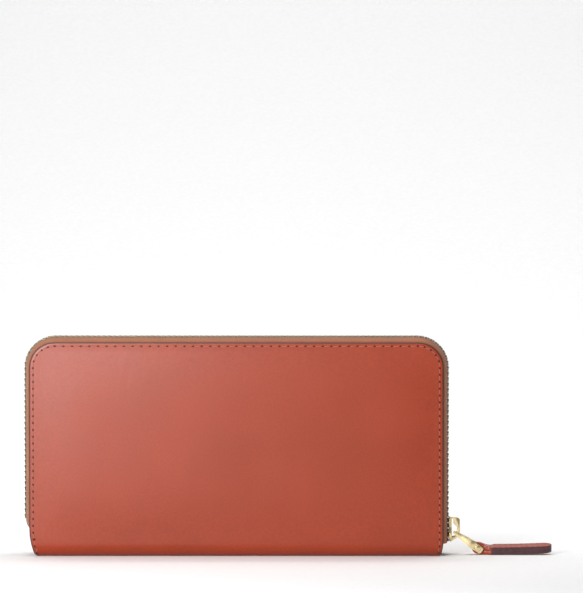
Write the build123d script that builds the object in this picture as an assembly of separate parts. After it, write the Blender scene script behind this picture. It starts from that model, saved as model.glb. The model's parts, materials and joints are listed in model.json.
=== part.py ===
"""A long zip-around wallet, closed and standing on its spine.

Axes: +X runs along the wallet towards the end where the closed zip's slider sits, +Y points at the back
cover, +Z is up. The origin is the middle of the spine's underside. All sizes are in millimetres.

Each cover is a stack, from the outside in: leather, board, lining, slip pocket and card slots. A zip tape
is sewn between leather and lining, bulges out past the cover's edge and carries a row of metal teeth. The
zip runs up one side, over the top and down the other. A coin pocket with its own zip hangs in the middle.
The outer leather is one wrap in life: it is split along the middle of the front fold, where the front cover
turns.
"""

import os
from math import asin, cos, degrees, pi, radians, sin, sqrt

from build123d import *

# ---------------------------------------------------------------- covers
COVER_WIDTH = 193.2
COVER_HEIGHT = 100.0
COVER_DEPTH = 25.0  # outside of front leather to outside of back leather
CORNER_RADIUS = 12.0  # top corners of a cover
FOOT_INSET = 2.3  # each side is this much narrower at the spine
FOOT_HEIGHT = 10.0  # the narrowing starts this far up
FOLD_RADIUS = 6.0  # outside radius of the two folds at the spine
FOLD_GAP = 0.25  # slit in the wrap along the front fold

LEATHER = 1.2
BOARD = 0.6
LINING = 0.6
POCKET_LEATHER = 0.6  # slip pockets and card slots
BOARD_INSET = 8.0
LINING_INSET = 1.5
LINER_GAP = 0.3  # kept between things that only lie near each other
FIT = 0.05  # play where one piece grips another

# ---------------------------------------------------------------- card slots
SLOT_COUNT = 4
SLOT_STEP = 11.0
FIRST_SLOT_TOP = 80.0
SLIP_POCKET_TOP = 87.0
PANEL_INSET = 6.0
PANEL_BOTTOM = 7.0
PANEL_CORNER = 5.0

# ---------------------------------------------------------------- zip round the wallet
TAPE = 0.6
TAPE_MARGIN = 6.0  # sewn between leather and lining
TAPE_BULGE = 2.2  # how far the tape's crest stands out past the cover's edge
TAPE_EDGE = 1.2  # distance from the middle plane to the tape's free edge
TAPE_START = 5.9  # lower end of the tape on the slider's side
TAPE_END = 10.5  # lower end of the tape on the far side, where it tucks in
TAPE_TUCK = 5.0
EDGE_LEAVE = 0.35  # how far out the tape turns as it leaves the cover's edge

TOOTH_PITCH = 2.54
TOOTH_GAP = 0.17  # between a tooth and the next one of the other row
TOOTH_THICKNESS = 2.0
TOOTH_NECK = 1.2  # thickness at the head
TOOTH_BACK = 2.9
TOOTH_HEAD = 0.55
TOOTH_SLOT = 1.0
LAST_TOOTH = 17.0  # height of the last tooth on the far side
SPREAD = 1.55  # how far the end teeth stand aside of the slider's post

STOP_LENGTH = 1.2
STOP_WIDTH = 1.5
STOP_BRIDGE = 0.3

# ---------------------------------------------------------------- slider of the big zip
SLIDER_BOTTOM = 6.3
SLIDER_LENGTH = 11.6
PLATE = 1.05
PLATE_GAP = 0.3  # between teeth and plates
LIP = 0.2  # low enough for the front row to lift out when the front cover opens
SLIDER_REAR = 3.8  # half widths
SLIDER_FRONT = 5.3
LIP_WIDTH = 0.7
SLIDER_LANE = 4.9  # length of the narrow part that holds the chain together
SLIDER_TAPER = 2.5
POST_HALF = 0.85
CROWN_REACH = 4.0
CROWN_WIDTH = 2.0
CROWN_BAR = 1.45
CROWN_BLOCK = 3.1

# ---------------------------------------------------------------- puller
PIVOT_OUT = 1.45  # eye's axis, out from the slider's face
PIVOT_UP = 4.1  # and up from the slider's lower end
EYE_RADIUS = 0.7
PIN_HEIGHT = 3.2  # above the surface that the wallet stands on
YOKE_LENGTH = 15.4
YOKE_THICKNESS = 3.7
YOKE_NARROW = 2.4  # half widths
YOKE_WIDE = 3.8
EYE_SLOT = 7.6
EYE_CLEARANCE = 0.3
CHEEK_END = 2.5  # from the pin to the yoke's end
PIN_RADIUS = 0.8
PIN_CLEARANCE = 0.05
PIN_HEAD = 0.3

TAB_LENGTH = 34.8
TAB_WIDTH = 8.0
TAB_THICKNESS = 3.3
TAB_LIFT = 0.2  # above the surface that the wallet stands on
LOOP_RADIUS = 2.7
LOOP_BORE = 1.15
LOOP_HALF = 2.65
LOOP_LENGTH = 8.0

# ---------------------------------------------------------------- stitches
STITCH_INSET = 2.2
STITCH_SIDE = 3.2
STITCH_TOP = 4.0
STITCH_LENGTH = 2.2
STITCH_WIDTH = 0.55
STITCH_HEIGHT = 0.25
TAB_STITCH = 2.4
TAB_STITCH_INSET = 1.1

# ---------------------------------------------------------------- gussets
GUSSET = 0.5
GUSSET_FOLD = 21.0
GUSSET_DROP = 3.0  # below the coin pocket's zip
GUSSET_BEND = 1.8

# ---------------------------------------------------------------- coin pocket
COIN_WALL = 0.7
COIN_HALF = 2.3  # half its thickness
COIN_INSET = 5.0
COIN_TOP = 78.0  # middle of its zip
COIN_BOTTOM = 6.0
COIN_LINING = 0.4
COIN_TAPE = 0.4
COIN_TAPE_DEPTH = 8.0
COIN_PITCH = 2.0
COIN_TOOTH_LENGTH = 1.0
COIN_TOOTH_THICKNESS = 1.4
COIN_TOOTH_HEAD = 0.45
COIN_TOOTH_BACK = 1.15
COIN_TAPE_EDGE = 0.7
COIN_ZIP_INSET = 13.0
COIN_SLIDER_LENGTH = 8.0
COIN_PLATE = 0.8
COIN_PLATE_GAP = 0.2
COIN_SLIDER_HALF = 2.8
COIN_SLIDER_UNDER = 1.0
COIN_POST_HALF = 0.35
COIN_CROWN_HALF = 2.5
COIN_CROWN_HEIGHT = 2.3
COIN_CROWN_BAR = 0.65
COIN_CROWN_WIDTH = 1.2
COIN_PULL_LENGTH = 13.0
COIN_PULL_WIDTH = 4.6
COIN_PULL_THICKNESS = 0.9
COIN_PULL_PIVOT = 0.85
COIN_PULL_SLOT = 3.3

# ---------------------------------------------------------------- what follows from those
HALF_WIDTH = COVER_WIDTH / 2
HALF_DEPTH = COVER_DEPTH / 2
CORNER_X = HALF_WIDTH - CORNER_RADIUS
CORNER_Z = COVER_HEIGHT - CORNER_RADIUS
BOARD_FACE = HALF_DEPTH - LEATHER  # layers' outer faces, as distances from the middle plane
LINING_FACE = BOARD_FACE - max(BOARD, TAPE)
SLIP_FACE = LINING_FACE - LINING
SLOT_FACE = SLIP_FACE - POCKET_LEATHER
STACK_FACE = SLOT_FACE - SLOT_COUNT * POCKET_LEATHER
FOLD_INSIDE = FOLD_RADIUS - LEATHER
FOLD_CENTRE = HALF_DEPTH - FOLD_RADIUS
LINING_BOTTOM = FOLD_RADIUS - sqrt(FOLD_INSIDE**2 - (LINING_FACE - FOLD_CENTRE) ** 2) + LINER_GAP
TOOTH_OUT = TAPE_BULGE - TAPE / 2 - 0.05  # middle of the teeth, out from the cover's edge
TOOTH_LENGTH = TOOTH_PITCH / 2 - TOOTH_GAP
SLIDER_TOP = SLIDER_BOTTOM + SLIDER_LENGTH
SLIDER_WAIST = SLIDER_TOP - SLIDER_LANE
SLIDER_SHOULDER = SLIDER_WAIST - SLIDER_TAPER
FIRST_TOOTH = SLIDER_BOTTOM + 2.9
SLIDER_INSIDE = TOOTH_OUT + TOOTH_THICKNESS / 2 + PLATE_GAP
SLIDER_FACE = SLIDER_INSIDE + PLATE
UNDER_INSIDE = TOOTH_OUT - TOOTH_THICKNESS / 2 - PLATE_GAP
PIVOT_X = HALF_WIDTH + SLIDER_FACE + PIVOT_OUT
PIVOT_Z = SLIDER_BOTTOM + PIVOT_UP
PIN_AT = YOKE_LENGTH - CHEEK_END  # from the eye's axis
YOKE_ANGLE = degrees(asin((PIVOT_Z - PIN_HEIGHT) / PIN_AT))  # below the horizontal
PIN_X = PIVOT_X + PIN_AT * cos(radians(YOKE_ANGLE))
COIN_SLIDER_X = HALF_WIDTH - COIN_ZIP_INSET - COIN_SLIDER_LENGTH / 2
COIN_DECK = COIN_TOP + COIN_TOOTH_THICKNESS / 2 + COIN_PLATE_GAP + COIN_PLATE
FAR = 400.0  # longer than anything here

parts = {}


# ---------------------------------------------------------------- shapes used more than once
def face_of(edges):
    return make_face(Wire(edges))


def polygon_xz(points, y=0.0):
    return make_face(Polyline(*[(x, y, z) for x, z in points], close=True))


def polygon_yz(points, x=0.0):
    return make_face(Polyline(*[(x, y, z) for y, z in points], close=True))


def slab(face, low, high):
    """A face in the XZ plane at y = 0, made a solid between two Y values."""
    return extrude(Pos(0, low, 0) * face, amount=high - low, dir=(0, 1, 0))


def block(low, high):
    middle = [(a + b) / 2 for a, b in zip(low, high)]
    size = [b - a for a, b in zip(low, high)]
    return Pos(*middle) * Box(*size)


def on_side(side, inner, outer):
    """Two distances from the middle plane, as a rising pair of Y values. Front is -1 and back is +1."""
    return tuple(sorted((side * inner, side * outer)))


def cover_outline(inset=0.0, bottom=0.0):
    """A cover seen from the front: round top corners, and sides that draw in near the spine."""
    half = HALF_WIDTH - inset
    top = COVER_HEIGHT - inset
    radius = max(CORNER_RADIUS - inset, 1.0)
    foot = max(FOOT_HEIGHT, bottom + 1.0)
    draw = FOOT_INSET * (foot - bottom) / foot
    bend = radius * (1 - sin(pi / 4))
    right = [
        Line((half - draw, 0, bottom), (half, 0, foot)),
        Line((half, 0, foot), (half, 0, top - radius)),
        ThreePointArc((half, 0, top - radius), (half - bend, 0, top - bend), (half - radius, 0, top)),
    ]
    left = [
        ThreePointArc((-half + radius, 0, top), (-half + bend, 0, top - bend), (-half, 0, top - radius)),
        Line((-half, 0, top - radius), (-half, 0, foot)),
        Line((-half, 0, foot), (-half + draw, 0, bottom)),
    ]
    over = Line((half - radius, 0, top), (-half + radius, 0, top))
    under = Line((-half + draw, 0, bottom), (half - draw, 0, bottom))
    return face_of([under, *right, over, *left])


def round_panel(half, bottom, top, radius):
    """A rectangle in the XZ plane with round top corners."""
    bend = radius * (1 - sin(pi / 4))
    return face_of(
        [
            Line((-half, 0, bottom), (half, 0, bottom)),
            Line((half, 0, bottom), (half, 0, top - radius)),
            ThreePointArc((half, 0, top - radius), (half - bend, 0, top - bend), (half - radius, 0, top)),
            Line((half - radius, 0, top), (-half + radius, 0, top)),
            ThreePointArc((-half + radius, 0, top), (-half + bend, 0, top - bend), (-half, 0, top - radius)),
            Line((-half, 0, top - radius), (-half, 0, bottom)),
        ]
    )


# ---------------------------------------------------------------- outer leather
def fold_point(side, radius, angle):
    """A point in a fold, from 0 degrees where it meets the cover to 90 where it meets the spine's base."""
    turn = radians(angle)
    return side * (HALF_DEPTH - FOLD_RADIUS + radius * cos(turn)), FOLD_RADIUS - radius * sin(turn)


def fold_arc(side, radius, start, end):
    ends = [(0, *fold_point(side, radius, a)) for a in (start, (start + end) / 2, end)]
    return ThreePointArc(*ends)


def ring_line(first, second):
    return Line((0, *first), (0, *second))


def leather_front():
    end = 45 - degrees(FOLD_GAP / FOLD_RADIUS)
    inner = FOLD_RADIUS - LEATHER
    top_out = (-HALF_DEPTH, COVER_HEIGHT)
    top_in = (-BOARD_FACE, COVER_HEIGHT)
    section = face_of(
        [
            ring_line(top_out, fold_point(-1, FOLD_RADIUS, 0)),
            fold_arc(-1, FOLD_RADIUS, 0, end),
            ring_line(fold_point(-1, FOLD_RADIUS, end), fold_point(-1, inner, end)),
            fold_arc(-1, inner, end, 0),
            ring_line(fold_point(-1, inner, 0), top_in),
            ring_line(top_in, top_out),
        ]
    )
    return trim_to_cover(section)


def leather_back():
    inner = FOLD_RADIUS - LEATHER
    top_out = (HALF_DEPTH, COVER_HEIGHT)
    top_in = (BOARD_FACE, COVER_HEIGHT)
    section = face_of(
        [
            fold_arc(-1, FOLD_RADIUS, 45, 90),
            ring_line(fold_point(-1, FOLD_RADIUS, 90), fold_point(1, FOLD_RADIUS, 90)),
            fold_arc(1, FOLD_RADIUS, 90, 0),
            ring_line(fold_point(1, FOLD_RADIUS, 0), top_out),
            ring_line(top_out, top_in),
            ring_line(top_in, fold_point(1, inner, 0)),
            fold_arc(1, inner, 0, 90),
            ring_line(fold_point(1, inner, 90), fold_point(-1, inner, 90)),
            fold_arc(-1, inner, 90, 45),
            ring_line(fold_point(-1, inner, 45), fold_point(-1, FOLD_RADIUS, 45)),
        ]
    )
    return trim_to_cover(section)


def trim_to_cover(section):
    long_wrap = extrude(Pos(-HALF_WIDTH - 1, 0, 0) * section, amount=COVER_WIDTH + 2, dir=(1, 0, 0))
    return long_wrap & slab(cover_outline(), -HALF_DEPTH - 1, HALF_DEPTH + 1)


# ---------------------------------------------------------------- layers inside a cover
def cover_layers(name, side):
    board_low, board_high = on_side(side, BOARD_FACE - BOARD, BOARD_FACE)
    parts[f"{name}_board"] = slab(cover_outline(BOARD_INSET, BOARD_INSET), board_low, board_high)
    lining_low, lining_high = on_side(side, SLIP_FACE, LINING_FACE)
    parts[f"{name}_lining"] = slab(cover_outline(LINING_INSET, LINING_BOTTOM), lining_low, lining_high)
    half = HALF_WIDTH - PANEL_INSET
    slip_low, slip_high = on_side(side, SLOT_FACE, SLIP_FACE)
    slip = round_panel(half, PANEL_BOTTOM, SLIP_POCKET_TOP, PANEL_CORNER)
    parts[f"{name}_slip_pocket"] = slab(slip, slip_low, slip_high)
    for number in range(SLOT_COUNT):
        outer = SLOT_FACE - number * POCKET_LEATHER
        low, high = on_side(side, outer - POCKET_LEATHER, outer)
        panel = round_panel(half, PANEL_BOTTOM, FIRST_SLOT_TOP - number * SLOT_STEP, PANEL_CORNER)
        parts[f"{name}_card_slot_{number + 1}"] = slab(panel, low, high)


def spine_lining():
    inner_base = HALF_DEPTH - FOLD_RADIUS
    half = HALF_WIDTH - FOOT_INSET - LINING_INSET
    return block((-half, -inner_base, LEATHER), (half, inner_base, LEATHER + LINING))


# ---------------------------------------------------------------- zip tape
def tape_profile(side, z):
    """The tape cut across, on the right-hand side at height z: the sewn margin, and the bulge to the teeth."""
    reach = BOARD_FACE
    rise = TAPE_BULGE - EDGE_LEAVE
    bulge_radius = (reach**2 + rise**2) / (2 * rise)
    middle = HALF_WIDTH + TAPE_BULGE - bulge_radius
    ring = Pos(middle, 0, z) * (Circle(bulge_radius) - Circle(bulge_radius - TAPE))
    low, high = on_side(side, TAPE_EDGE, reach)
    window_low = HALF_WIDTH - 2 * TAPE_MARGIN
    window = Pos(window_low + FAR / 2, (low + high) / 2, z) * Rectangle(FAR, high - low)
    margin_low, margin_high = on_side(side, reach - TAPE, reach)
    margin_end = HALF_WIDTH + EDGE_LEAVE / 2
    margin_start = HALF_WIDTH - TAPE_MARGIN
    margin_at = ((margin_start + margin_end) / 2, (margin_low + margin_high) / 2, z)
    margin = Pos(*margin_at) * Rectangle(margin_end - margin_start, TAPE)
    return (ring & window) + margin


def corner_axis(side):
    return Axis((side * CORNER_X, 0, CORNER_Z), (0, -1, 0))


def zip_tape(side):
    at_corner = tape_profile(side, CORNER_Z)
    right = extrude(tape_profile(side, TAPE_START), amount=CORNER_Z - TAPE_START, dir=(0, 0, 1))
    corner = revolve(at_corner, corner_axis(1), 90)
    turned = at_corner.rotate(corner_axis(1), 90)
    top_half = extrude(turned, amount=CORNER_X, dir=(-1, 0, 0))
    left = extrude(tape_profile(side, TAPE_END), amount=CORNER_Z - TAPE_END, dir=(0, 0, 1))
    half = corner + top_half
    tape = right + half + mirror(half, Plane.YZ) + mirror(left, Plane.YZ)
    edge = HALF_WIDTH + TAPE_BULGE
    tuck = polygon_xz(
        [(-edge - 1, TAPE_END - 1), (-HALF_WIDTH, TAPE_END - 1), (-edge - 1, TAPE_END + TAPE_TUCK + 1)]
    )
    tape -= slab(tuck, -HALF_DEPTH, HALF_DEPTH)
    return tape - parting(side)


def parting(side):
    """What the slider's post pushes aside, cut off the tape's free edge at its lower end."""
    spread_edge = TAPE_EDGE + SPREAD
    wedge = [
        (0, TAPE_START - 1),
        (side * spread_edge, TAPE_START - 1),
        (side * spread_edge, SLIDER_SHOULDER + TOOTH_LENGTH),
        (side * TAPE_EDGE, SLIDER_TOP - SPREAD),
        (0, SLIDER_TOP - SPREAD),
    ]
    return extrude(polygon_yz(wedge, HALF_WIDTH - TAPE_MARGIN), amount=2 * TAPE_MARGIN, dir=(1, 0, 0))


# ---------------------------------------------------------------- teeth
RUN = CORNER_Z - FIRST_TOOTH  # from the first tooth to the first corner
BEND = (CORNER_RADIUS + TOOTH_OUT) * pi / 2
ZIP_LENGTH = RUN + BEND + 2 * CORNER_X + BEND + CORNER_Z - LAST_TOOTH


def along_zip(distance):
    """The place on the zip this far from the first tooth. Locally X points out of the wallet and Z along it."""
    to_edge = Pos(CORNER_RADIUS, 0, 0)
    left = distance - RUN
    if left < 0:
        return Pos(HALF_WIDTH, 0, FIRST_TOOTH + distance)
    if left < BEND:
        return Pos(CORNER_X, 0, CORNER_Z) * Rot(0, -90 * left / BEND, 0) * to_edge
    left -= BEND
    if left < 2 * CORNER_X:
        return Pos(CORNER_X - left, 0, CORNER_Z) * Rot(0, -90, 0) * to_edge
    left -= 2 * CORNER_X
    if left < BEND:
        return Pos(-CORNER_X, 0, CORNER_Z) * Rot(0, -90 - 90 * left / BEND, 0) * to_edge
    left -= BEND
    return Pos(-CORNER_X, 0, CORNER_Z - left) * Rot(0, -180, 0) * to_edge


def tooth(side, back, head, out, thickness, neck, slot, edge, length):
    """One tooth: jaws that grip the tape's edge, and a head that meshes with the other row."""
    grip = edge - 0.1
    half = thickness / 2
    shoulder = min(head, 0.6)
    points = [
        (-back, out + half),
        (-shoulder, out + half),
        (head, out + neck / 2),
        (head, out - neck / 2),
        (-shoulder, out - half),
        (-back, out - half),
        (-back, out - slot / 2),
        (-grip, out - slot / 2),
        (-grip, out + slot / 2),
        (-back, out + slot / 2),
    ]
    section = make_face(Polyline(*[(n, -side * y, -length / 2) for y, n in points], close=True))
    return extrude(section, amount=length, dir=(0, 0, 1))


def spread_at(height):
    """How far the teeth in the slider's mouth stand aside of the meshed line."""
    share = (SLIDER_WAIST - height) / SLIDER_TAPER
    return SPREAD * min(1.0, max(0.0, share))


def tooth_rows(name, side, phase):
    """Both nodes of one row: the run that the slider passes at first, and the rest."""
    one = tooth(
        side, TOOTH_BACK, TOOTH_HEAD, TOOTH_OUT, TOOTH_THICKNESS, TOOTH_NECK, TOOTH_SLOT, TAPE_EDGE, TOOTH_LENGTH
    )
    run, rest = [], []
    distance = phase * TOOTH_PITCH
    while distance <= ZIP_LENGTH:
        aside = spread_at(FIRST_TOOTH + distance) if distance < RUN else 0.0
        placed = along_zip(distance) * Pos(0, side * aside, 0) * one
        (run if distance < RUN - TOOTH_PITCH / 2 else rest).append(placed)
        distance += TOOTH_PITCH
    parts[f"{name}_teeth_side"] = Compound(children=run)
    parts[f"{name}_teeth_top"] = Compound(children=rest)


def end_stop(side):
    """A staple on the tape's end, inside the slider's mouth. Its jaws join past the tape's free edge."""
    bottom = SLIDER_BOTTOM + 0.1
    top = bottom + STOP_LENGTH
    out = HALF_WIDTH + TOOTH_OUT
    half = TOOTH_THICKNESS / 2
    slot = TOOTH_SLOT / 2
    edge = TAPE_EDGE + SPREAD
    low, high = on_side(side, edge - STOP_BRIDGE, edge - STOP_BRIDGE + STOP_WIDTH)
    grip_low, grip_high = on_side(side, edge - FIT, edge + STOP_WIDTH)
    staple = block((out - half, low, bottom), (out + half, high, top))
    return staple - block((out - slot, grip_low, bottom - 1), (out + slot, grip_high, top + 1))


# ---------------------------------------------------------------- slider
def slider_body():
    rear, front = SLIDER_REAR, SLIDER_FRONT
    low, top = SLIDER_BOTTOM, SLIDER_TOP
    waist, shoulder = SLIDER_WAIST, SLIDER_SHOULDER
    half_outline = [(rear, top), (rear, waist), (front, shoulder), (front, low + 1.7), (front - 1.7, low)]
    outline = half_outline + [(-y, z) for y, z in reversed(half_outline)]
    shape = fillet(polygon_yz(outline).vertices(), 0.6)
    lane = rear - LIP_WIDTH
    mouth = front - LIP_WIDTH
    half_channel = [(lane, top + 1), (lane, waist - 0.4), (mouth, shoulder - 0.4), (mouth, low - 1)]
    channel = polygon_yz(half_channel + [(-y, z) for y, z in reversed(half_channel)])
    lips = shape - channel
    post = polygon_yz(
        [
            (0, shoulder + 0.5),
            (POST_HALF, shoulder - 0.9),
            (POST_HALF, low + 2.3),
            (0, low + 1.5),
            (-POST_HALF, low + 2.3),
            (-POST_HALF, shoulder - 0.9),
        ]
    )
    over = extrude(Pos(HALF_WIDTH + SLIDER_INSIDE, 0, 0) * shape, amount=PLATE, dir=(1, 0, 0))
    over = chamfer(over.faces().sort_by(Axis.X)[-1].edges(), 0.25)
    under = extrude(Pos(HALF_WIDTH + UNDER_INSIDE - PLATE, 0, 0) * shape, amount=PLATE, dir=(1, 0, 0))
    over_lips = extrude(Pos(HALF_WIDTH + SLIDER_INSIDE - LIP, 0, 0) * lips, amount=LIP, dir=(1, 0, 0))
    under_lips = extrude(Pos(HALF_WIDTH + UNDER_INSIDE, 0, 0) * lips, amount=LIP, dir=(1, 0, 0))
    column = extrude(
        Pos(HALF_WIDTH + UNDER_INSIDE, 0, 0) * post, amount=SLIDER_INSIDE - UNDER_INSIDE, dir=(1, 0, 0)
    )
    return over + under + over_lips + under_lips + column


def slider_crown():
    """The arch on the slider's face that the puller's eye hooks round, thicker at its top."""
    face = HALF_WIDTH + SLIDER_FACE
    low, top = SLIDER_BOTTOM, SLIDER_TOP
    reach = face + CROWN_REACH
    outer = polygon_xz(
        [(face, low + 0.1), (reach - 1.9, low + 1.3), (reach, low + 4.2), (reach, top - 0.5), (face, top - 0.1)]
    )
    outer = fillet(outer.vertices().sort_by(Axis.X)[2:], 1.8)
    block_in = reach - CROWN_BLOCK
    opening = polygon_xz(
        [
            (face - 1, low + 2.2),
            (reach - 1.9 - CROWN_BAR * 0.4, low + 2.7),
            (reach - CROWN_BAR, low + 4.4),
            (reach - CROWN_BAR, top - 4.9),
            (block_in, top - 3.3),
            (block_in, top - 1.1),
            (face - 1, top - 1.1),
        ]
    )
    opening = fillet(opening.vertices().sort_by(Axis.X)[2:], 0.35)
    arch = outer - opening
    return slab(arch, -CROWN_WIDTH / 2, CROWN_WIDTH / 2)


# ---------------------------------------------------------------- puller
def at_pivot(shape):
    """Turns a shape laid out along +X from the eye's axis to where the puller hangs."""
    return Pos(PIVOT_X, 0, PIVOT_Z) * Rot(0, YOKE_ANGLE, 0) * shape


def pull_yoke():
    """A tapered brass yoke: an eye round the crown at one end, and two cheeks for the pin at the other."""
    half = YOKE_THICKNESS / 2
    shank = 3.0
    side_view = polygon_xz(
        [
            (0, EYE_RADIUS),
            (shank, 1.05),
            (YOKE_LENGTH * 0.62, half),
            (YOKE_LENGTH, half * 0.86),
            (YOKE_LENGTH, -half * 0.86),
            (YOKE_LENGTH * 0.62, -half),
            (shank, -1.05),
            (0, -EYE_RADIUS),
        ]
    )
    side_view = fillet(side_view.vertices().sort_by(Axis.X)[-2:], 1.1)
    body = slab(side_view, -YOKE_WIDE, YOKE_WIDE)
    widen = EYE_SLOT + 1.0
    plan_half = [
        (-EYE_RADIUS - 1, YOKE_NARROW),
        (EYE_SLOT * 0.5, YOKE_NARROW),
        (widen, YOKE_WIDE),
        (YOKE_LENGTH + 1, YOKE_WIDE),
    ]
    plan_points = plan_half + [(a, -b) for a, b in reversed(plan_half)]
    plan = make_face(Polyline(*[(a, b, -half - 1) for a, b in plan_points], close=True))
    body &= extrude(plan, amount=YOKE_THICKNESS + 2, dir=(0, 0, 1))
    eye_half = CROWN_WIDTH / 2 + EYE_CLEARANCE
    body -= block((-EYE_RADIUS, -eye_half, -half - 1), (EYE_SLOT, eye_half, half + 1))
    body += Rot(90, 0, 0) * Cylinder(EYE_RADIUS, 2 * YOKE_NARROW)
    seat = LOOP_HALF + EYE_CLEARANCE
    seat_start = PIN_AT - LOOP_RADIUS - EYE_CLEARANCE
    body -= block((seat_start, -seat, -half - 1), (YOKE_LENGTH + 1, seat, half + 1))
    hole = Pos(PIN_AT, 0, 0) * Rot(90, 0, 0) * Cylinder(PIN_RADIUS + PIN_CLEARANCE, 4 * YOKE_WIDE)
    return at_pivot(body - hole)


def pull_pin():
    shank = Rot(90, 0, 0) * Cylinder(PIN_RADIUS, 2 * YOKE_WIDE)
    head = Rot(90, 0, 0) * Cylinder(PIN_RADIUS + 0.5, PIN_HEAD)
    heads = Pos(0, YOKE_WIDE + PIN_HEAD / 2, 0) * head + Pos(0, -YOKE_WIDE - PIN_HEAD / 2, 0) * head
    return at_pivot(Pos(PIN_AT, 0, 0) * (shank + heads))


TAB_MIDDLE = TAB_LIFT + TAB_THICKNESS / 2


def pull_tab():
    """A leather strip folded round the pin and sewn to itself, lying flat."""
    half = TAB_THICKNESS / 2
    end = PIN_X + TAB_LENGTH
    neck_end = PIN_X + LOOP_LENGTH
    lean = LOOP_RADIUS * 0.97
    neck = polygon_xz(
        [
            (PIN_X, PIN_HEIGHT + LOOP_RADIUS),
            (neck_end, TAB_MIDDLE + half),
            (neck_end, TAB_MIDDLE - half),
            (PIN_X + LOOP_RADIUS, TAB_LIFT),
            (PIN_X, max(TAB_LIFT, PIN_HEIGHT - lean)),
        ]
    )
    loop = slab(neck, -LOOP_HALF, LOOP_HALF)
    loop += Pos(PIN_X, 0, PIN_HEIGHT) * Rot(90, 0, 0) * Cylinder(LOOP_RADIUS, 2 * LOOP_HALF)
    loop &= block((PIN_X - FAR, -FAR, TAB_LIFT), (PIN_X + FAR, FAR, FAR))
    loop -= Pos(PIN_X, 0, PIN_HEIGHT) * Rot(90, 0, 0) * Cylinder(LOOP_BORE, 4 * LOOP_HALF)
    width = TAB_WIDTH / 2
    strap_start = PIN_X + YOKE_LENGTH - PIN_AT + 1.2
    bend = width * (1 - sin(pi / 4))
    z = TAB_MIDDLE - half
    plan = face_of(
        [
            Line((strap_start, -width, z), (end - width, -width, z)),
            ThreePointArc((end - width, -width, z), (end, 0, z), (end - width, width, z)),
            Line((end - width, width, z), (strap_start, width, z)),
            Line((strap_start, width, z), (strap_start, -width, z)),
        ]
    )
    strap = extrude(plan, amount=TAB_THICKNESS, dir=(0, 0, 1))
    return loop + strap


def tab_stitches():
    """Stitches on the tab's upper face, along both long edges and round its end."""
    width = TAB_WIDTH / 2 - TAB_STITCH_INSET
    start = PIN_X + LOOP_LENGTH + 1
    end = PIN_X + TAB_LENGTH - TAB_WIDTH / 2
    top = TAB_LIFT + TAB_THICKNESS
    straight = end - start
    one = Box(TAB_STITCH * 0.7, STITCH_WIDTH, STITCH_HEIGHT)
    made = []
    count = int(straight / TAB_STITCH)
    for number in range(count):
        x = start + (number + 0.5) * straight / count
        for y in (-width, width):
            made.append(Pos(x, y, top + STITCH_HEIGHT / 2) * one)
    turns = int(pi * width / TAB_STITCH)
    for number in range(turns):
        angle = -90 + 180 * (number + 0.5) / turns
        x = end + width * cos(radians(angle))
        y = width * sin(radians(angle))
        made.append(Pos(x, y, top + STITCH_HEIGHT / 2) * Rot(0, 0, angle + 90) * one)
    return Compound(children=made)


# ---------------------------------------------------------------- cover stitches
def seam_places():
    """(x, z, angle) of each stitch round a cover, from one foot up, over the top and down."""
    side_x = HALF_WIDTH - STITCH_INSET
    top_z = COVER_HEIGHT - STITCH_INSET
    radius = CORNER_RADIUS - STITCH_INSET
    start = FOOT_HEIGHT
    rise = CORNER_Z - start
    side_count = int(rise / STITCH_SIDE)
    bend_count = max(1, round(radius * pi / 2 / STITCH_SIDE))
    top_count = round(2 * CORNER_X / STITCH_TOP)
    places = []
    for number in range(side_count):
        z = start + (number + 0.5) * rise / side_count
        places += [(side_x, z, 90), (-side_x, z, 90)]
    for number in range(bend_count):
        turn = 90 * (number + 0.5) / bend_count
        x = CORNER_X + radius * cos(radians(turn))
        z = CORNER_Z + radius * sin(radians(turn))
        places += [(x, z, turn + 90), (-x, z, 90 - turn)]
    for number in range(top_count):
        places.append((-CORNER_X + (number + 0.5) * 2 * CORNER_X / top_count, top_z, 0))
    return places


def seam(side):
    one = Box(STITCH_LENGTH, STITCH_HEIGHT, STITCH_WIDTH)
    y = side * (HALF_DEPTH + STITCH_HEIGHT / 2)
    return Compound(children=[Pos(x, y, z) * Rot(0, -angle, 0) * one for x, z, angle in seam_places()])


# ---------------------------------------------------------------- gussets
def gusset(side, end):
    """A folded side gusset between a card stack and the coin pocket. Its fold points into the wallet."""
    edge = HALF_WIDTH - COIN_INSET
    fold = edge - GUSSET_FOLD
    low, high = on_side(side, COIN_HALF, STACK_FACE)
    centre = (edge + fold) / 2, (low + high) / 2
    outside = Pos(*centre, 0) * Rectangle(GUSSET_FOLD, high - low)
    inside = Pos(centre[0] + GUSSET, centre[1], 0) * Rectangle(GUSSET_FOLD, high - low - 2 * GUSSET)
    bend = min(GUSSET_BEND, 0.45 * (high - low))
    outside = fillet(outside.vertices().sort_by(Axis.X)[:2], bend)
    inside = fillet(inside.vertices().sort_by(Axis.X)[:2], bend - GUSSET)
    height = COIN_TOP - GUSSET_DROP - PANEL_BOTTOM
    folded = extrude(Pos(0, 0, PANEL_BOTTOM) * (outside - inside), amount=height, dir=(0, 0, 1))
    return folded if end > 0 else mirror(folded, Plane.YZ)


# ---------------------------------------------------------------- coin pocket
def coin_wall(side):
    low, high = on_side(side, COIN_HALF - COIN_WALL, COIN_HALF)
    half = HALF_WIDTH - COIN_INSET
    return block((-half, low, COIN_BOTTOM), (half, high, COIN_TOP + COIN_TAPE / 2))


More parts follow.
